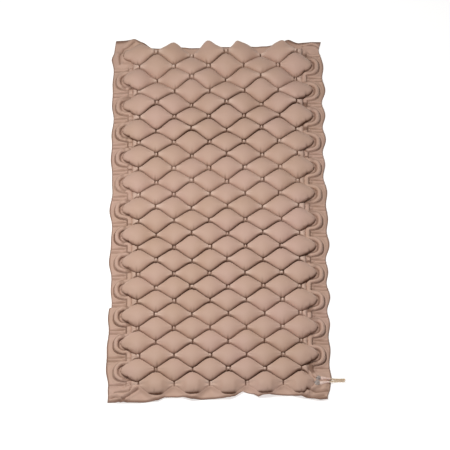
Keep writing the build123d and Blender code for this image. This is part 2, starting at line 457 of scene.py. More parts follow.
def necks(x, share, rng):
    """What the necks do to a row: swelling, pinching, painted shade on the fold lines and a painted highlight
    on each neck.
    """
    swelling = np.ones_like(x)
    pinch = np.ones_like(x)
    dark = np.zeros((len(x), ACROSS))
    pale = np.zeros((len(x), ACROSS))
    for neck_x in node_positions():
        neck = np.exp(-((x - neck_x) / NECK_REACH) ** 2)
        pale = np.maximum(pale, rng.uniform(0.35, 1.0) * neck[:, None] * (1 - share[None, :] ** 2))
        swelling = swelling * (1 + NECK_SWELL * neck)
        for offset, depth in sharp_folds(rng):
            fold = np.exp(-((x - neck_x - offset) / FOLD_WIDTH) ** 2)
            pinch = pinch * (1 - FOLD_PINCH * depth * fold)
            dark = np.maximum(dark, depth * fold[:, None])
    return swelling * pinch, dark, pale


def neck_fans(xs, ys, rng):
    """Folds that run from each neck out into the cells on both sides."""
    folds = np.zeros_like(xs)
    for neck_x in node_positions():
        radius = np.hypot(xs - neck_x, ys)
        turn = np.arctan2(ys, np.abs(xs - neck_x))
        for side in (-1, 1):
            on_side = smoothstep(0.0, 0.004, side * (xs - neck_x))
            phase = rng.uniform(-0.5, 0.5)
            count = rng.uniform(7.0, 10.0)
            reach = np.exp(-((radius - 0.020) / 0.014) ** 2)
            folds += FAN_FOLD * on_side * reach * np.cos(count * turn + phase)
    return folds


def crest_folds(xs, inward, share, rng):
    """Short cuts and fine pleats that run inward from each crest, and the painted shade in them."""
    folds = np.zeros_like(xs)
    dark = np.zeros_like(xs)
    for index in range(CELLS):
        crest_x = cell_x("a", index)
        for side in (-1, 1):
            on_side = smoothstep(0.0, 0.3, side * share)[None, :]
            for offset, depth in sharp_folds(rng):
                length = rng.uniform(0.007, 0.012)
                cut = np.exp(-((xs - crest_x - offset) / CREST_CUT_WIDTH) ** 2)
                cut = cut * np.exp(-(inward / length) ** 2) * on_side
                folds -= CREST_CUT * depth * cut
                dark = np.maximum(dark, 0.9 * depth * cut)
            pleat = np.cos(2 * math.pi * (xs - crest_x) / rng.uniform(0.0042, 0.0055) + rng.uniform(-1, 1))
            fan = np.exp(-((xs - crest_x) / 0.020) ** 2) * np.exp(-(inward / 0.016) ** 2) * on_side
            folds += PLEAT * pleat * fan
    return folds, dark


def stand_on_weld(px, py, lift, upper):
    """Where the film lies: square to the weld plane above it, and straight down below it."""
    weld = weld_height(px, py)
    if not upper:
        depth = lift * (WELD_Z + LOWER_SAG) / CROWN
        return px, py, np.maximum(weld - depth, 0.0)
    slope_x, slope_y = weld_slope(px, py)
    steep = np.sqrt(slope_x**2 + slope_y**2)
    calm = np.minimum(1.0, 0.55 / np.maximum(steep, 1e-6))
    slope_x = slope_x * calm
    slope_y = slope_y * calm
    lean = 1 / np.sqrt(1 + slope_x**2 + slope_y**2)
    return px - slope_x * lift * lean, py - slope_y * lift * lean, weld + lift * lean


def row_film(name, circuit, number, finger_x, upper):
    """The film of one row above the weld, or below it."""
    x = row_stations(finger_x)
    share = np.sin(np.linspace(-math.pi / 2, math.pi / 2, ACROSS))
    xs = np.repeat(x[:, None], ACROSS, 1)
    half = outline(x, finger_x, circuit, number, False)
    outer_half = outline(x, finger_x, circuit, number, True)
    reach_y = np.where(share[None, :] > 0, outer_half[:, None], half[:, None])
    ys = reach_y * share[None, :]
    swell = row_swell(finger_x, xs, ys)
    thick = smoothstep(0.008, 0.030, half)[:, None]
    ys = ys + 4 * OVERHANG * (swell * (1 - swell)) * np.sign(share)[None, :] * thick
    inward = reach_y * (1 - np.abs(share[None, :]))
    rng = np.random.default_rng(100 + number + (50 if circuit == "b" else 0))

    # On the foot border's side, the last row's film lies lower between its lobes
    from_lobe = np.abs((xs - cell_x("a", 0) + PITCH_X / 2) % PITCH_X - PITCH_X / 2)
    lobe = 1 - smoothstep(0.020, 0.036, from_lobe)
    foot_side = (circuit == "b" and number == ROWS - 1) * (share[None, :] > 0)
    lift = CROWN * swell ** (1 + 0.9 * (1 - lobe) * foot_side)
    at_necks, dark, pale = necks(x, share, rng)
    lift = lift * at_necks[:, None]

    folds = neck_fans(xs, ys, rng)
    cuts, cut_dark = crest_folds(xs, inward, share, rng)
    folds += cuts
    dark = np.maximum(dark, cut_dark)
    past_node = smoothstep(-0.010, 0.004, xs - node_positions()[-1])
    folds += TIP_CRUMPLE * past_node * lattice_noise(xs / 0.0032 + 5 * number, ys / 0.0036, 63)
    slow = lattice_noise(xs / 0.022 + 7 * number, ys / 0.022, 61 if circuit == "a" else 62)
    folds += SLOW_DENT * slow * smoothstep(0.0, 0.5, swell) * thick
    folds += PUCKER * np.sin(xs / 0.0026 + 2.1 * np.sin(xs / 0.031 + number)) * np.exp(-inward / 0.006)
    lift = np.clip(lift + folds * np.minimum(swell * 3, 1.0), 0.0, None)
    lift[:, [0, -1]] = 0.0

    turned = -1.0 if circuit == "b" else 1.0
    px, py, pz = stand_on_weld(turned * xs, row_y(circuit, number) + turned * ys, lift, upper)
    if upper and circuit == "a" and number == 0:
        for crest_x, rise in HEAD_CRESTS:
            at_crest = np.exp(-((px - crest_x) / 0.024) ** 2)
            bump = rise * at_crest * smoothstep(0.010, 0.040, ys) * np.minimum(swell * 2, 1)
            py = py + 0.9 * bump
            pz = pz + 0.7 * bump
    piece = new_mesh(name, np.stack([px, py, pz], -1).reshape(-1, 3), grid_faces(len(x), ACROSS))

    # Painted shade along the weld and on the fold lines, darker and wider on the edges that run up to the
    # right, which face away from the light, and lighter on the necks. On the last row's foot side it is a
    # painted shadow under each lobe only.
    rising = np.gradient(half, x)[:, None] * np.sign(share)[None, :]
    shade_strength = np.clip(0.70 + 0.26 * rising + 0.62 * lattice_noise(px / 0.075, py / 0.075, 71), 0.12, 1.1)
    shade_strength = np.where(foot_side, 1.1 * lobe, shade_strength * (1 - 0.35 * pale))
    width = PAINTED_SHADE_WIDTH * (1 + 0.35 * rising)
    store(piece, "painted_shade", np.clip(np.maximum(np.exp(-((inward / width) ** 1.5)) * shade_strength, dark), 0.0, 1.0))
    # Painted highlight on the necks, and in a line just inside the weld on each row's head side, where the
    # light falls
    head_side = smoothstep(0.0, 0.5, turned * share)[None, :]
    line = np.exp(-((inward - PALE_LINE_AT) / PALE_LINE_WIDTH) ** 2) * head_side
    store(piece, "painted_highlight", np.maximum(pale, PALE_LINE * line) * (1 - dark))
    return piece


# ---------------- welded film: web and borders

SHEET_STEP = 0.0027
FILM_THICKNESS = 0.0008
LOWEST_FILM = 0.0004

# The sheet is cut away where a row covers it by more than this
HIDDEN_MARGIN = 0.006

# Where the film is cut at the foot and at the head end
FOOT_EDGE = [(-0.434, -0.949), (-0.31, -0.952), (-0.24, -0.944), (-0.215, -0.929), (-0.145, -0.929),
             (-0.11, -0.942), (0.04, -0.936), (0.06, -0.928), (0.09, -0.905), (0.13, -0.918), (0.15, -0.932),
             (0.21, -0.926), (0.28, -0.927), (0.33, -0.940), (0.39, -0.952), (0.434, -0.945)]
HEAD_EDGE = [(-0.434, 0.968), (-0.36, 0.970), (-0.30, 0.945), (-0.27, 0.927), (0.20, 0.929), (0.32, 0.946),
             (0.434, 0.951)]

# Only the film's outermost strip is stretched to meet the cut edge. It starts here.
TURN_X = 0.405
TURN_Y = 0.900

# Puffs of the film at the head end: X, Y and height
HEAD_PUFFS = [(-0.345, 0.952, 0.024), (-0.300, 0.944, 0.013), (0.289, 0.942, 0.026)]

# Heights of the border film's folds, and how wide the pressed lines beside the channel and in the corners are
RING_FOLD = 0.0026
CHANNEL_GROOVE = 0.0032
GROOVE_AT = 0.0108
GROOVE_WIDTH = 0.0024
TONGUE_FOLD = 0.0036
TONGUE_PITCH = 0.0175
OUTER_RIPPLE = 0.0012
END_RIPPLE = 0.0020
CORNER_GROOVE = 0.0035
CORNER_RIDGE = 0.0030


def edge_y(x, edge):
    """Y of a cut edge at x."""
    return np.interp(x, [point[0] for point in edge], [point[1] for point in edge])


def edge_x(y, right):
    """How far the cut edge of a side stands from the middle line: scalloped round the fingers."""
    near = lattice_noise(y / 0.022, 0.0 * y, 23 if right else 24)
    slow = lattice_noise(y / 0.060, 0.0 * y, 21 if right else 22)
    head = 0.010 * smoothstep(0.86, 0.91, y)
    if right:
        scallop = np.cos(2 * math.pi * (y + 0.016) / PITCH_Y)
        foot = 0.005 * smoothstep(-0.84, -0.87, y) + 0.005 * smoothstep(-0.90, -0.94, y)
        return 0.4309 - head - foot + 0.0041 * scallop + 0.0050 * near + 0.0040 * slow
    step = 0.009 * smoothstep(-0.466, -0.476, y) - 0.008 * smoothstep(-0.88, -0.93, y)
    scallop = np.cos(2 * math.pi * (y - 0.042) / PITCH_Y)
    return 0.4295 - head + step + 0.0022 * scallop + 0.0060 * near + 0.0070 * slow


def inside_rows(x, y):
    """How far a point lies inside the nearest row's outline, along Y."""
    best = np.full(x.shape, -1.0)
    tip = node_positions()[-1] + TIP_REACH
    for circuit, side in (("a", 1.0), ("b", -1.0)):
        for number in range(ROWS):
            finger = PORT_FINGER_X if circuit == "b" and number == ROWS - 1 else FINGER_X
            along = side * x
            middle = row_y(circuit, number)
            outward = y < middle
            half = np.where(outward, outline(along, finger, circuit, number, True), half_width(along, finger))
            past = np.maximum(along - tip, -finger - along)
            off = np.abs(y - middle)
            best = np.maximum(best, np.where(past > 0, -np.hypot(past, off), half - off))
    return best


# Long folds in the four corners, as lines of straight runs
CORNER_FOLDS = [
    [(-0.410, -0.903), (-0.377, -0.905), (-0.355, -0.903), (-0.341, -0.888), (-0.325, -0.875)],
    [(-0.385, -0.946), (-0.362, -0.925), (-0.335, -0.903), (-0.318, -0.890)],
    [(-0.425, -0.925), (-0.400, -0.928), (-0.372, -0.935)],
    [(0.345, -0.905), (0.375, -0.912), (0.425, -0.905)],
    [(0.325, -0.928), (0.360, -0.938), (0.405, -0.930)],
    [(-0.400, 0.835), (-0.402, 0.880), (-0.385, 0.925), (-0.340, 0.945)],
    [(0.430, 0.905), (0.395, 0.925), (0.350, 0.922)],
]


def line_distance(x, y, points):
    """Distance from a line of straight runs."""
    nearest = np.full(x.shape, 1.0)
    for (ax, ay), (bx, by) in zip(points, points[1:]):
        share = ((x - ax) * (bx - ax) + (y - ay) * (by - ay)) / ((bx - ax) ** 2 + (by - ay) ** 2)
        share = np.clip(share, 0.0, 1.0)
        nearest = np.minimum(nearest, np.hypot(x - ax - share * (bx - ax), y - ay - share * (by - ay)))
    return nearest


def border_folds(x, y):
    """Folds in the flat film outside the channels and beyond the end rows, and the painted shade in each
    place.
    """
    distance = channel_distance(x, y)
    finger = by_finger(x, y)
    channel_low = np.where(x < 0, row_y("b", ROWS - 1), row_y("a", ROWS - 1))
    channel_high = np.where(x < 0, row_y("b", 0), row_y("a", 0))
    present = smoothstep(channel_low - 0.012, channel_low + 0.006, y)
    present = present * smoothstep(channel_high + 0.012, channel_high - 0.006, y)

    # A pressed line on both sides of the channel, and a ring outside it round each finger
    uneven = 1 + 0.5 * lattice_noise(x / 0.05, y / 0.05, 34)
    beside = np.exp(-((np.abs(distance) - GROOVE_AT) / GROOVE_WIDTH) ** 2) * present * uneven
    beside = beside * np.where(distance < 0, 0.15 + 0.85 * finger, 1.15)
    ring = np.exp(-((distance - 0.0185) / 0.0040) ** 2) * present * finger

    # Bars across the tongue of film that reaches in to each supply tip, and ripples further out
    tip_y = np.abs(from_finger(x, y)) - PITCH_Y / 2
    tongue = np.exp(-(tip_y / 0.021) ** 4) * smoothstep(0.010, 0.016, distance) * present
    wander = 0.9 * lattice_noise(x / 0.05, y / 0.12, 31)
    bars = np.cos(2 * math.pi * from_finger(x, y) / TONGUE_PITCH + wander)
    waves = lattice_noise(x / 0.016, y / 0.011, 32)
    far = smoothstep(0.020, 0.030, distance)
    folds = RING_FOLD * ring - CHANNEL_GROOVE * beside
    folds = folds + TONGUE_FOLD * tongue * bars + OUTER_RIPPLE * far * waves * (1 - tongue)
    depth = np.maximum(0.62 * beside, 0.50 * tongue * smoothstep(-0.2, -1.0, bars))

    # Beyond the end rows the film only ripples
    beyond = smoothstep(LAST_ROW + 0.020, LAST_ROW + 0.040, np.abs(y)) * smoothstep(0.37, 0.33, np.abs(x))
    folds = folds * (1 - beyond) + beyond * END_RIPPLE * lattice_noise(x / 0.011, y / 0.024, 33)
    for points in CORNER_FOLDS:
        away = line_distance(x, y, points)
        folds = folds - CORNER_GROOVE * np.exp(-(away / 0.0036) ** 2)
        folds = folds + CORNER_RIDGE * np.exp(-((away - 0.010) / 0.0055) ** 2)
        depth = np.maximum(depth, 0.65 * np.exp(-(away / 0.0026) ** 2))
    for puff_x, puff_y, rise in HEAD_PUFFS:
        folds = folds + rise * np.exp(-((x - puff_x) / 0.026) ** 2 - ((y - puff_y) / 0.017) ** 2)
    return folds, depth


def welded_film():
    """The whole welded sheet, split into the web between the rows and the four borders."""
    columns = int(2 * PAD_HALF_X / SHEET_STEP) + 1
    rows = int(2 * PAD_HALF_Y / SHEET_STEP) + 1
    gx = np.linspace(-PAD_HALF_X, PAD_HALF_X, columns)
    gy = np.linspace(-PAD_HALF_Y, PAD_HALF_Y, rows)
    x, y = np.meshgrid(gx, gy)
    reach = (np.abs(x) - TURN_X) / (PAD_HALF_X - TURN_X)
    edge = np.where(x > 0, edge_x(y, True), edge_x(y, False))
    x = np.where(reach > 0, np.sign(x) * (TURN_X + reach * (edge - TURN_X)), x)
    reach = (np.abs(y) - TURN_Y) / (PAD_HALF_Y - TURN_Y)
    edge = np.where(y > 0, edge_y(x, HEAD_EDGE), -edge_y(x, FOOT_EDGE))
    y = np.where(reach > 0, np.sign(y) * (TURN_Y + reach * (edge - TURN_Y)), y)
    folds, depth = border_folds(x, y)
    z = np.maximum(weld_height(x, y) + folds, LOWEST_FILM)
    margin = inside_rows(x, y)

    # Painted shade in the welds, in the folds and along the cut edge, but not between the last row's lobes
    rim = np.maximum(np.abs(np.linspace(-1, 1, columns))[None, :], np.abs(np.linspace(-1, 1, rows))[:, None])
    painted_shade = np.clip(1.0 + margin / 0.004, 0.0, 1.0)
    lobe = 1 - smoothstep(0.022, 0.034, np.abs((x - cell_x("b", 0) + PITCH_X / 2) % PITCH_X - PITCH_X / 2))
    painted_shade = np.where(y < row_y("b", ROWS - 1), painted_shade * lobe, painted_shade)
    painted_shade = np.maximum(painted_shade, np.maximum(depth, 0.75 * smoothstep(0.984, 0.996, rim)))
    points = np.stack([x, y, z], -1).reshape(-1, 3)
    corner = np.minimum.reduce([margin[:-1, :-1], margin[1:, :-1], margin[1:, 1:], margin[:-1, 1:]])
    shown = corner < HIDDEN_MARGIN
    middle_x = (x[:-1, :-1] + x[1:, 1:]) / 2
    middle_y = (y[:-1, :-1] + y[1:, 1:]) / 2
    side_x = CHANNEL_IN - 0.004
    parts = {
        "left_border": middle_x < -side_x,
        "right_border": middle_x > side_x,
        "head_border": (np.abs(middle_x) <= side_x) & (middle_y > row_y("a", 0)),
        "foot_border": (np.abs(middle_x) <= side_x) & (middle_y < row_y("b", ROWS - 1)),
    }
    taken = np.logical_or.reduce(list(parts.values()))
    parts["weld_web"] = ~taken
    pieces = {}
    for node, chosen in parts.items():
        faces = np.array(grid_faces(rows, columns, keep=shown & chosen))
        used, compact = np.unique(faces, return_inverse=True)
        piece = new_mesh("film_" + node, points[used], compact.reshape(-1, 4).tolist())
        store(piece, "painted_shade", painted_shade.ravel()[used])
        thicken = piece.modifiers.new("film", "SOLIDIFY")
        thicken.thickness = FILM_THICKNESS
        thicken.offset = 1.0
        pieces[node] = piece
    return pieces


# ---------------- side air channels

CHANNEL_HEIGHT = 0.0125
CHANNEL_SINK = 0.0010
CHANNEL_STEP = 0.0035
CHANNEL_END = 0.876
ARCH = 14
SMOOTHING = 7


def channel_piece(name, right):
    """An inflated channel, swept along its line, with puckers, and crumpled at the supply tips."""
    side = 1 if right else -1
    end = row_y("a", ROWS - 1) if right else row_y("b", ROWS - 1)
    fingers = [row_y("b" if right else "a", number) for number in range(ROWS)]
    fingers = [middle for middle in fingers
               if middle - PITCH_Y / 2 > end - 0.001 and middle + PITCH_Y / 2 < CHANNEL_END]
    bends = [BEND[::-1] + np.array([0.0, middle]) for middle in fingers]
    line = np.concatenate([bend[:-1] for bend in bends[:-1]] + [bends[-1]])
    xs = side * line[:, 0]
    ys = line[:, 1]
    if right:
        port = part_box("inlet_port_a")
        leg_x = np.linspace(xs[-1], port[0][0] + 0.004, 120)[1:]
        leg_y = np.linspace(ys[-1], (port[0][1] + port[1][1]) / 2, 120)[1:]
        xs = np.concatenate([xs, leg_x])
        ys = np.concatenate([ys, leg_y])
    run = np.concatenate([[0], np.cumsum(np.hypot(np.diff(xs), np.diff(ys)))])
    along = np.linspace(0, run[-1], int(run[-1] / CHANNEL_STEP))
    xs = np.interp(along, run, xs)
    ys = np.interp(along, run, ys)
    tangent = np.stack([np.gradient(xs), np.gradient(ys)], -1)
    padded = np.pad(tangent, ((SMOOTHING // 2, SMOOTHING // 2), (0, 0)), "edge")
    window = np.ones(SMOOTHING) / SMOOTHING
    tangent = np.stack([np.convolve(padded[:, k], window, "valid") for k in (0, 1)], -1)
    tangent /= np.linalg.norm(tangent, axis=1)[:, None]
    normal = np.stack([-tangent[:, 1], tangent[:, 0]], -1)
    angle = np.linspace(0, math.pi, ARCH)
    taper = smoothstep(0, 0.012, along) * smoothstep(0, 0.010, run[-1] - along)
    half = CHANNEL_HALF * (0.75 + 0.25 * taper)
    finger = by_finger(xs, ys)
    crumple = lattice_noise(along / 0.0062, 0 * along, 41 + right)
    wobble = 1 + (0.16 + 0.75 * (1 - finger)) * crumple
    px = xs[:, None] + normal[:, 0:1] * half[:, None] * np.cos(angle)[None, :]
    py = ys[:, None] + normal[:, 1:2] * half[:, None] * np.cos(angle)[None, :]
    full = CHANNEL_HEIGHT * (0.30 + 0.70 * finger) * wobble * (0.55 + 0.45 * taper)
    rise = full[:, None] * np.sin(angle)[None, :] ** 0.85
    base = weld_height(px, py)
    middle = weld_height(xs, ys)[:, None]
    pz = 0.6 * base + 0.4 * middle + rise - CHANNEL_SINK
    piece = new_mesh(name, np.stack([px, py, pz], -1).reshape(-1, 3), grid_faces(len(along), ARCH))
    # Painted shade along the channel's foot on both sides, and in the pinches near the supply tips
    edge = 0.8 * np.exp(-np.sin(angle) / 0.22)[None, :] * (0.25 + 0.75 * finger[:, None])
    pinch = 0.75 * (1 - finger) * smoothstep(-0.15, -0.55, crumple)
    store(piece, "painted_shade", np.maximum(edge, pinch[:, None]))
    return piece


# ---------------- inlet ports, sleeves and tubes

TUBE_RADIUS = 0.004
TUBE_BORE = 0.0025
TUBE_REST = 0.00405
TUBE_SIDES = 20
TUBE_ROUTES = {
    "a": [(0.380, -0.849, 0.0135), (0.408, -0.8496, 0.013), (0.436, -0.8504, 0.0065),
          (0.463, -0.8504, TUBE_REST), (0.488, -0.8504, TUBE_REST)],
    "b": [(0.376, -0.8758, 0.0135), (0.404, -0.872, 0.013), (0.432, -0.8625, 0.0065),
          (0.460, -0.859, TUBE_REST), (0.486, -0.859, TUBE_REST)],
}


def route_line(points):
    """Points along the smooth line of a route."""
    curve = bpy.data.curves.new("route", "CURVE")
    curve.dimensions = "3D"
    curve.resolution_u = 24
    spline = curve.splines.new("NURBS")
    spline.points.add(len(points) - 1)
    for point, place in zip(spline.points, points):
        point.co = (*place, 1.0)
    spline.order_u = 3
    spline.use_endpoint_u = True
    holder = bpy.data.objects.new("route", curve)
    bpy.context.scene.collection.objects.link(holder)
    bpy.context.view_layer.update()
    mesh = bpy.data.meshes.new_from_object(holder)
    line = np.array([vertex.co[:] for vertex in mesh.vertices])
    bpy.data.objects.remove(holder)
    bpy.data.curves.remove(curve)
    bpy.data.meshes.remove(mesh)
    return line


def rings(line, radii, sides, squash=None):
    """Rings of points round a line, one for each radius. squash flattens each ring's height."""
    tangent = np.gradient(line, axis=0)
    tangent /= np.linalg.norm(tangent, axis=1)[:, None]
    sideways = np.cross(tangent, [0.0, 0.0, 1.0])
    sideways /= np.linalg.norm(sideways, axis=1)[:, None]
    upward = np.cross(sideways, tangent)
    angle = np.linspace(0, 2 * math.pi, sides, endpoint=False)
    flat = np.ones(len(line)) if squash is None else np.asarray(squash)
    around = sideways[:, None, :] * np.cos(angle)[None, :, None]
    around = around + upward[:, None, :] * np.sin(angle)[None, :, None] * flat[:, None, None]
    return line[:, None, :] + around * np.asarray(radii)[:, None, None]


def ring_faces(count, sides, closed=False):
    """The faces between rings, and from the last ring back to the first where it is closed."""
    faces = []
    for ring in range(count if closed else count - 1):
        here = ring * sides
        there = (ring + 1) % count * sides
        for side in range(sides):
            after = (side + 1) % sides
            faces.append([here + side, here + after, there + after, there + side])
    return faces


def tube_piece(name, circuit):
    """A hollow tube with square cut ends."""
    line = route_line(TUBE_ROUTES[circuit])
    outer = rings(line, np.full(len(line), TUBE_RADIUS), TUBE_SIDES)
    inner = rings(line, np.full(len(line), TUBE_BORE), TUBE_SIDES)
    loop = np.concatenate([outer, inner[::-1]])
    piece = new_mesh(name, loop.reshape(-1, 3), ring_faces(len(loop), TUBE_SIDES, closed=True))
    length = np.linalg.norm(np.diff(line, axis=0), axis=1).sum()
    return piece, line, length


SLEEVE_SIDES = 28
SLEEVE_START = 0.012
SLEEVE_END = 0.050
SLEEVE_RINGS = 34
SLEEVE_WALL = 0.14
LOWEST_SLEEVE = 0.0005


def sleeve_piece(name, circuit):
    """The welded film sleeve that grips a tube, flattened and wider towards the port."""
    line = route_line(TUBE_ROUTES[circuit])
    run = np.concatenate([[0], np.cumsum(np.linalg.norm(np.diff(line, axis=0), axis=1))])
    along = np.linspace(SLEEVE_START, SLEEVE_END, SLEEVE_RINGS)
    path = np.stack([np.interp(along, run, line[:, k]) for k in range(3)], -1)
    t = np.linspace(0, 1, len(along))
    radii = 0.0085 - 0.0040 * smoothstep(0.0, 0.75, t)
    flat = 0.62 + 0.40 * smoothstep(0.1, 0.9, t)
    outer = rings(path, radii, SLEEVE_SIDES, flat)
    angle = np.linspace(0, 2 * math.pi, SLEEVE_SIDES, endpoint=False)
    seed = 51 if circuit == "a" else 52
    crumple = lattice_noise(along[:, None] / 0.004, angle[None, :] * 1.6, seed)
    outer = path[:, None, :] + (outer - path[:, None, :]) * (1 + 0.06 * crumple * (1 - t)[:, None])[..., None]
    inner = path[:, None, :] + (outer - path[:, None, :]) * (1 - SLEEVE_WALL)
    loop = np.concatenate([outer, inner[::-1]])
    loop[..., 2] = np.maximum(loop[..., 2], LOWEST_SLEEVE)
    return new_mesh(name, loop.reshape(-1, 3), ring_faces(len(loop), SLEEVE_SIDES, closed=True))


PORT_SIDES = 32
BOOT_RINGS = 16
BOOT_RADIUS = 0.0088
BOOT_NARROWS = 0.0030
BOOT_MOUTH = 0.0042
RIB_HEIGHT = 0.0006
RIB_PITCH = 0.0038

# The flange's rings: reach as a share of the port's half size, and height over the film
FLANGE = ((1.25, -0.0002), (1.22, 0.0014), (1.05, 0.0020), (0.6, 0.0020))


def port_piece(name, node, circuit):
    """A moulded port: an oval flange on the film, and a ribbed boot that narrows round the tube."""
    low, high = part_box(node)
    sides = PORT_SIDES
    angle = np.linspace(0, 2 * math.pi, sides, endpoint=False)
    route = np.array(TUBE_ROUTES[circuit])
    heading = route[1] - route[0]
    heading /= np.linalg.norm(heading)
    span = high[0] - low[0]
    start = route[0] - heading * 0.004
    along = np.linspace(0, span - 0.002, BOOT_RINGS)
    path = start[None, :] + heading[None, :] * along[:, None]
    t = np.linspace(0, 1, len(along))
    blunt = np.sqrt(np.clip(1 - (1 - np.minimum(t / 0.25, 1)) ** 2, 0.04, 1))
    radii = BOOT_RADIUS * blunt - BOOT_NARROWS * smoothstep(0.3, 1.0, t)
    ribs = RIB_HEIGHT * (np.sin(along / RIB_PITCH * 2 * math.pi) > 0.3) * (t > 0.45)
    boot = rings(path, radii + ribs, sides)
    mouth_line = np.array([path[-1], path[-1] + heading * 1e-4])
    mouth = rings(mouth_line, [BOOT_MOUTH, BOOT_MOUTH], sides)[:1]
    loop = np.concatenate([boot, mouth])
    points = loop.reshape(-1, 3)
    faces = ring_faces(len(loop), sides)
    faces.append(list(range(sides))[::-1])
    flange = []
    for reach, height in FLANGE:
        oval_x = (low[0] + high[0]) / 2 + span / 2 * reach * np.cos(angle)
        oval_y = (low[1] + high[1]) / 2 + (high[1] - low[1]) / 2 * reach * np.sin(angle)
        flange.append(np.stack([oval_x, oval_y, weld_height(oval_x, oval_y) + height], -1))
    offset = len(points)
    faces += [[index + offset for index in face] for face in ring_faces(len(flange), sides)]
    faces.append([offset + (len(flange) - 1) * sides + side for side in range(sides)])
    return new_mesh(name, np.concatenate([points, *flange]), faces)


# ---------------- materials

def material(name, base, roughness, specular):
    """A plain material: it, its node tree and its shader."""
    made = bpy.data.materials.new(name)
    made.use_nodes = True
    shader = made.node_tree.nodes["Principled BSDF"]
    shader.inputs["Base Color"].default_value = (*base, 1.0)
    shader.inputs["Roughness"].default_value = roughness
    shader.inputs["Specular IOR Level"].default_value = specular
    return made, made.node_tree, shader


def node(tree, kind, **settings):
    """A node whose properties or inputs are set by name."""
    made = tree.nodes.new(kind)
    for key, value in settings.items():
        if hasattr(made, key):
            setattr(made, key, value)
        else:
            made.inputs[key.replace("_", " ")].default_value = value
    return made


def colour_ramp(tree, stops, source):
    """A colour ramp with these stops, driven by a socket."""
    ramp = tree.nodes.new("ShaderNodeValToRGB")
    while len(ramp.color_ramp.elements) < len(stops):
        ramp.color_ramp.elements.new(0.5)
    for element, (place, colour) in zip(ramp.color_ramp.elements, stops):
        element.position = place
        element.color = (*colour, 1.0)
    tree.links.new(source, ramp.inputs["Fac"])
    return ramp


def mixed(tree, attribute, strength, under, colour):
    """A colour laid over another one where a mesh attribute says so."""
    share = node(tree, "ShaderNodeMath", operation="MULTIPLY")
    share.inputs[1].default_value = strength
    source = node(tree, "ShaderNodeAttribute", attribute_name=attribute)
    tree.links.new(source.outputs["Fac"], share.inputs[0])
    mix = node(tree, "ShaderNodeMix", data_type="RGBA")
    mix.inputs[7].default_value = (*colour, 1.0)
    tree.links.new(share.outputs[0], mix.inputs[0])
    tree.links.new(under, mix.inputs[6])
    return mix.outputs[2]


FILM_TINTS = [(0.30, (0.530, 0.352, 0.262)), (0.50, (0.556, 0.371, 0.289)), (0.72, (0.578, 0.384, 0.315))]
# Colour of the painted highlight, and colour of the painted shade in the creases and folds
PAINTED_HIGHLIGHT_COLOUR = (0.80, 0.62, 0.52)
PAINTED_SHADE_COLOUR = (0.115, 0.042, 0.016)


def film_material():
    """Satin vinyl: slow mottling from tan to pinkish, a painted highlight beside the welds and at the necks,
    painted shade in the creases and folds, a fine calendered grain.
    """
    made, tree, shader = material("beige_pvc_film", (0.56, 0.36, 0.27), 0.58, 0.36)
    place = node(tree, "ShaderNodeTexCoord").outputs["Object"]
    slow = node(tree, "ShaderNodeTexNoise", Scale=5.0, Detail=3.0, Roughness=0.55)
    tree.links.new(place, slow.inputs["Vector"])
    tint = colour_ramp(tree, FILM_TINTS, slow.outputs["Fac"])
    # Painted highlight on the necks and beside the welds, then painted shade in the creases and folds
    with_painted_highlight = mixed(tree, "painted_highlight", 0.75, tint.outputs["Color"], PAINTED_HIGHLIGHT_COLOUR)
    with_painted_shade = mixed(tree, "painted_shade", 0.96, with_painted_highlight, PAINTED_SHADE_COLOUR)
    tree.links.new(with_painted_shade, shader.inputs["Base Color"])
    fine = node(tree, "ShaderNodeTexNoise", Scale=900.0, Detail=2.0, Roughness=0.5)
    tree.links.new(place, fine.inputs["Vector"])
    gloss = node(tree, "ShaderNodeMapRange", To_Min=0.52, To_Max=0.66)
    tree.links.new(slow.outputs["Fac"], gloss.inputs["Value"])
    tree.links.new(gloss.outputs["Result"], shader.inputs["Roughness"])
    broad = node(tree, "ShaderNodeTexNoise", Scale=38.0, Detail=3.0, Roughness=0.5)
    tree.links.new(place, broad.inputs["Vector"])
    grain = node(tree, "ShaderNodeBump", Strength=0.12, Distance=0.0004)
    tree.links.new(fine.outputs["Fac"], grain.inputs["Height"])
    dents = node(tree, "ShaderNodeBump", Strength=0.25, Distance=0.0025)
    tree.links.new(broad.outputs["Fac"], dents.inputs["Height"])
    tree.links.new(grain.outputs["Normal"], dents.inputs["Normal"])
    tree.links.new(dents.outputs["Normal"], shader.inputs["Normal"])
    return made


def clear_material(name, base, cloudy, roughness, see_through):
    """Soft PVC without much pigment, with faint streaks and as see-through as asked."""
    made, tree, shader = material(name, base, roughness, 0.5)
    shader.inputs["Transmission Weight"].default_value = see_through
    shader.inputs["IOR"].default_value = 1.45
    place = node(tree, "ShaderNodeTexCoord").outputs["Object"]
    streaks = node(tree, "ShaderNodeTexNoise", Scale=160.0, Detail=2.0, Roughness=0.6)
    tree.links.new(place, streaks.inputs["Vector"])
    tint = colour_ramp(tree, [(0.35, base), (0.70, cloudy)], streaks.outputs["Fac"])
    tree.links.new(tint.outputs["Color"], shader.inputs["Base Color"])
    dents = node(tree, "ShaderNodeBump", Strength=0.2, Distance=0.0006)
    tree.links.new(streaks.outputs["Fac"], dents.inputs["Height"])
    tree.links.new(dents.outputs["Normal"], shader.inputs["Normal"])
    return made


# ---------------- build

def dress(piece, finish, body="pad_base"):
    """Give a piece its material and slot, and let it ride a body unless none is given."""
    piece.data.materials.append(finish)
    if body is not None:
        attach(piece, body)


film = film_material()
grey_port = clear_material("grey_translucent_port", (0.33, 0.27, 0.24), (0.50, 0.43, 0.40), 0.28, 0.10)
bright_sleeve = clear_material("bright_welded_sleeve", (0.74, 0.50, 0.42), (0.95, 0.80, 0.73), 0.15, 0.0)
clear_pvc = clear_material("yellowed_clear_tube", (0.80, 0.63, 0.45), (0.90, 0.76, 0.58), 0.15, 0.35)

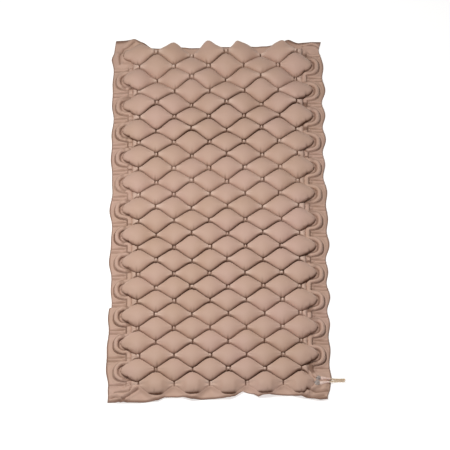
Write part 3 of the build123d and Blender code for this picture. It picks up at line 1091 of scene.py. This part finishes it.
for circuit in "ab":
    for number in range(ROWS):
        finger = PORT_FINGER_X if circuit == "b" and number == ROWS - 1 else FINGER_X
        label = f"{circuit}{number + 1:02d}"
        top = row_film("film_row_" + label, circuit, number, finger, True)
        dress(top, film, None)
        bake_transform(top)
        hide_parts("cell_row_" + label)
        below = row_film("underside_row_" + label, circuit, number, finger, False)
        dress(below, film)
        if number == 0:
            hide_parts("lower_cells_" + circuit)

borders = welded_film()
for name, piece in borders.items():
    dress(piece, film)
    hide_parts(name)
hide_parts("bottom_sheet")

for side_name, right in (("left_air_channel", False), ("right_air_channel", True)):
    channel = channel_piece("film_" + side_name, right)
    dress(channel, film)
    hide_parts(side_name)

for circuit in "ab":
    port = port_piece("moulded_port_" + circuit, "inlet_port_" + circuit, circuit)
    dress(port, grey_port)
    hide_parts("inlet_port_" + circuit)
    sleeve = sleeve_piece("welded_sleeve_" + circuit, circuit)
    dress(sleeve, bright_sleeve)
    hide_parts("tube_sleeve_" + circuit)
    tube, line, length = tube_piece("clear_tube_" + circuit, circuit)
    dress(tube, clear_pvc)
    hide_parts("inlet_tube_" + circuit)


# ---------------- stage, light and camera

def look_at(location, target, roll=0.0):
    """A place and turn for a lamp or camera that looks from one place to another."""
    back = (Vector(location) - Vector(target)).normalized()
    right = Vector((0, 0, 1)).cross(back).normalized()
    up = back.cross(right)
    tilted_right = right * math.cos(roll) + up * math.sin(roll)
    tilted_up = up * math.cos(roll) - right * math.sin(roll)
    frame_matrix = Matrix((tilted_right, tilted_up, back)).transposed().to_4x4()
    frame_matrix.translation = Vector(location)
    return frame_matrix


def area_light(name, place, target, size, power, colour):
    """A soft rectangular lamp."""
    data = bpy.data.lights.new(name, "AREA")
    data.shape = "RECTANGLE"
    data.size, data.size_y = size
    data.energy = power
    data.color = colour
    lamp = bpy.data.objects.new(name, data)
    bpy.context.scene.collection.objects.link(lamp)
    lamp.matrix_world = look_at(place, target)
    return lamp


FLOOR_HALF = 12
FLOOR_Z = -0.0005

floor_mesh = bpy.data.meshes.new("floor")
floor_corners = [(x * FLOOR_HALF, y * FLOOR_HALF, FLOOR_Z) for x, y in ((-1, -1), (1, -1), (1, 1), (-1, 1))]
floor_mesh.from_pydata(floor_corners, [], [(0, 1, 2, 3)])
floor = bpy.data.objects.new("floor", floor_mesh)
bpy.context.scene.collection.objects.link(floor)
pale, _, floor_shader = material("pale_floor", (0.70, 0.70, 0.70), 0.9, 0.0)
floor_shader.inputs["Emission Color"].default_value = (1.0, 1.0, 1.0, 1.0)
floor_shader.inputs["Emission Strength"].default_value = 0.55
floor.data.materials.append(pale)

world = bpy.data.worlds.new("studio")
bpy.context.scene.world = world
world.use_nodes = True
world.node_tree.nodes["Background"].inputs["Color"].default_value = (1.0, 1.0, 1.0, 1.0)
world.node_tree.nodes["Background"].inputs["Strength"].default_value = 0.32

area_light("key_overhead", (-0.70, -0.20, 2.5), (0, 0, 0), (1.3, 1.3), 48, (1.0, 0.985, 0.95))
area_light("fill_front", (0.8, -3.0, 1.7), (0, 0, 0), (2.5, 1.5), 7, (1.0, 0.88, 0.95))

CAMERA_TARGET = (0.0255, -0.0618, 0.025)
CAMERA_AZIMUTH = math.radians(0.63)
CAMERA_ELEVATION = math.radians(48.8)
CAMERA_DISTANCE = 20.98
CAMERA_ROLL = math.radians(-1.29)
CAMERA_LENS = 421.3

camera_data = bpy.data.cameras.new("camera")
camera_data.lens = CAMERA_LENS
camera_data.sensor_width = 36.0
camera_data.clip_end = 100.0
camera = bpy.data.objects.new("camera", camera_data)
bpy.context.scene.collection.objects.link(camera)
level = math.cos(CAMERA_ELEVATION)
camera_place = (
    CAMERA_TARGET[0] + CAMERA_DISTANCE * math.sin(CAMERA_AZIMUTH) * level,
    CAMERA_TARGET[1] - CAMERA_DISTANCE * math.cos(CAMERA_AZIMUTH) * level,
    CAMERA_TARGET[2] + CAMERA_DISTANCE * math.sin(CAMERA_ELEVATION),
)
camera.matrix_world = look_at(camera_place, CAMERA_TARGET, CAMERA_ROLL)
bpy.context.scene.camera = camera
bpy.context.scene.view_settings.view_transform = "Standard"

bpy.context.view_layer.update()
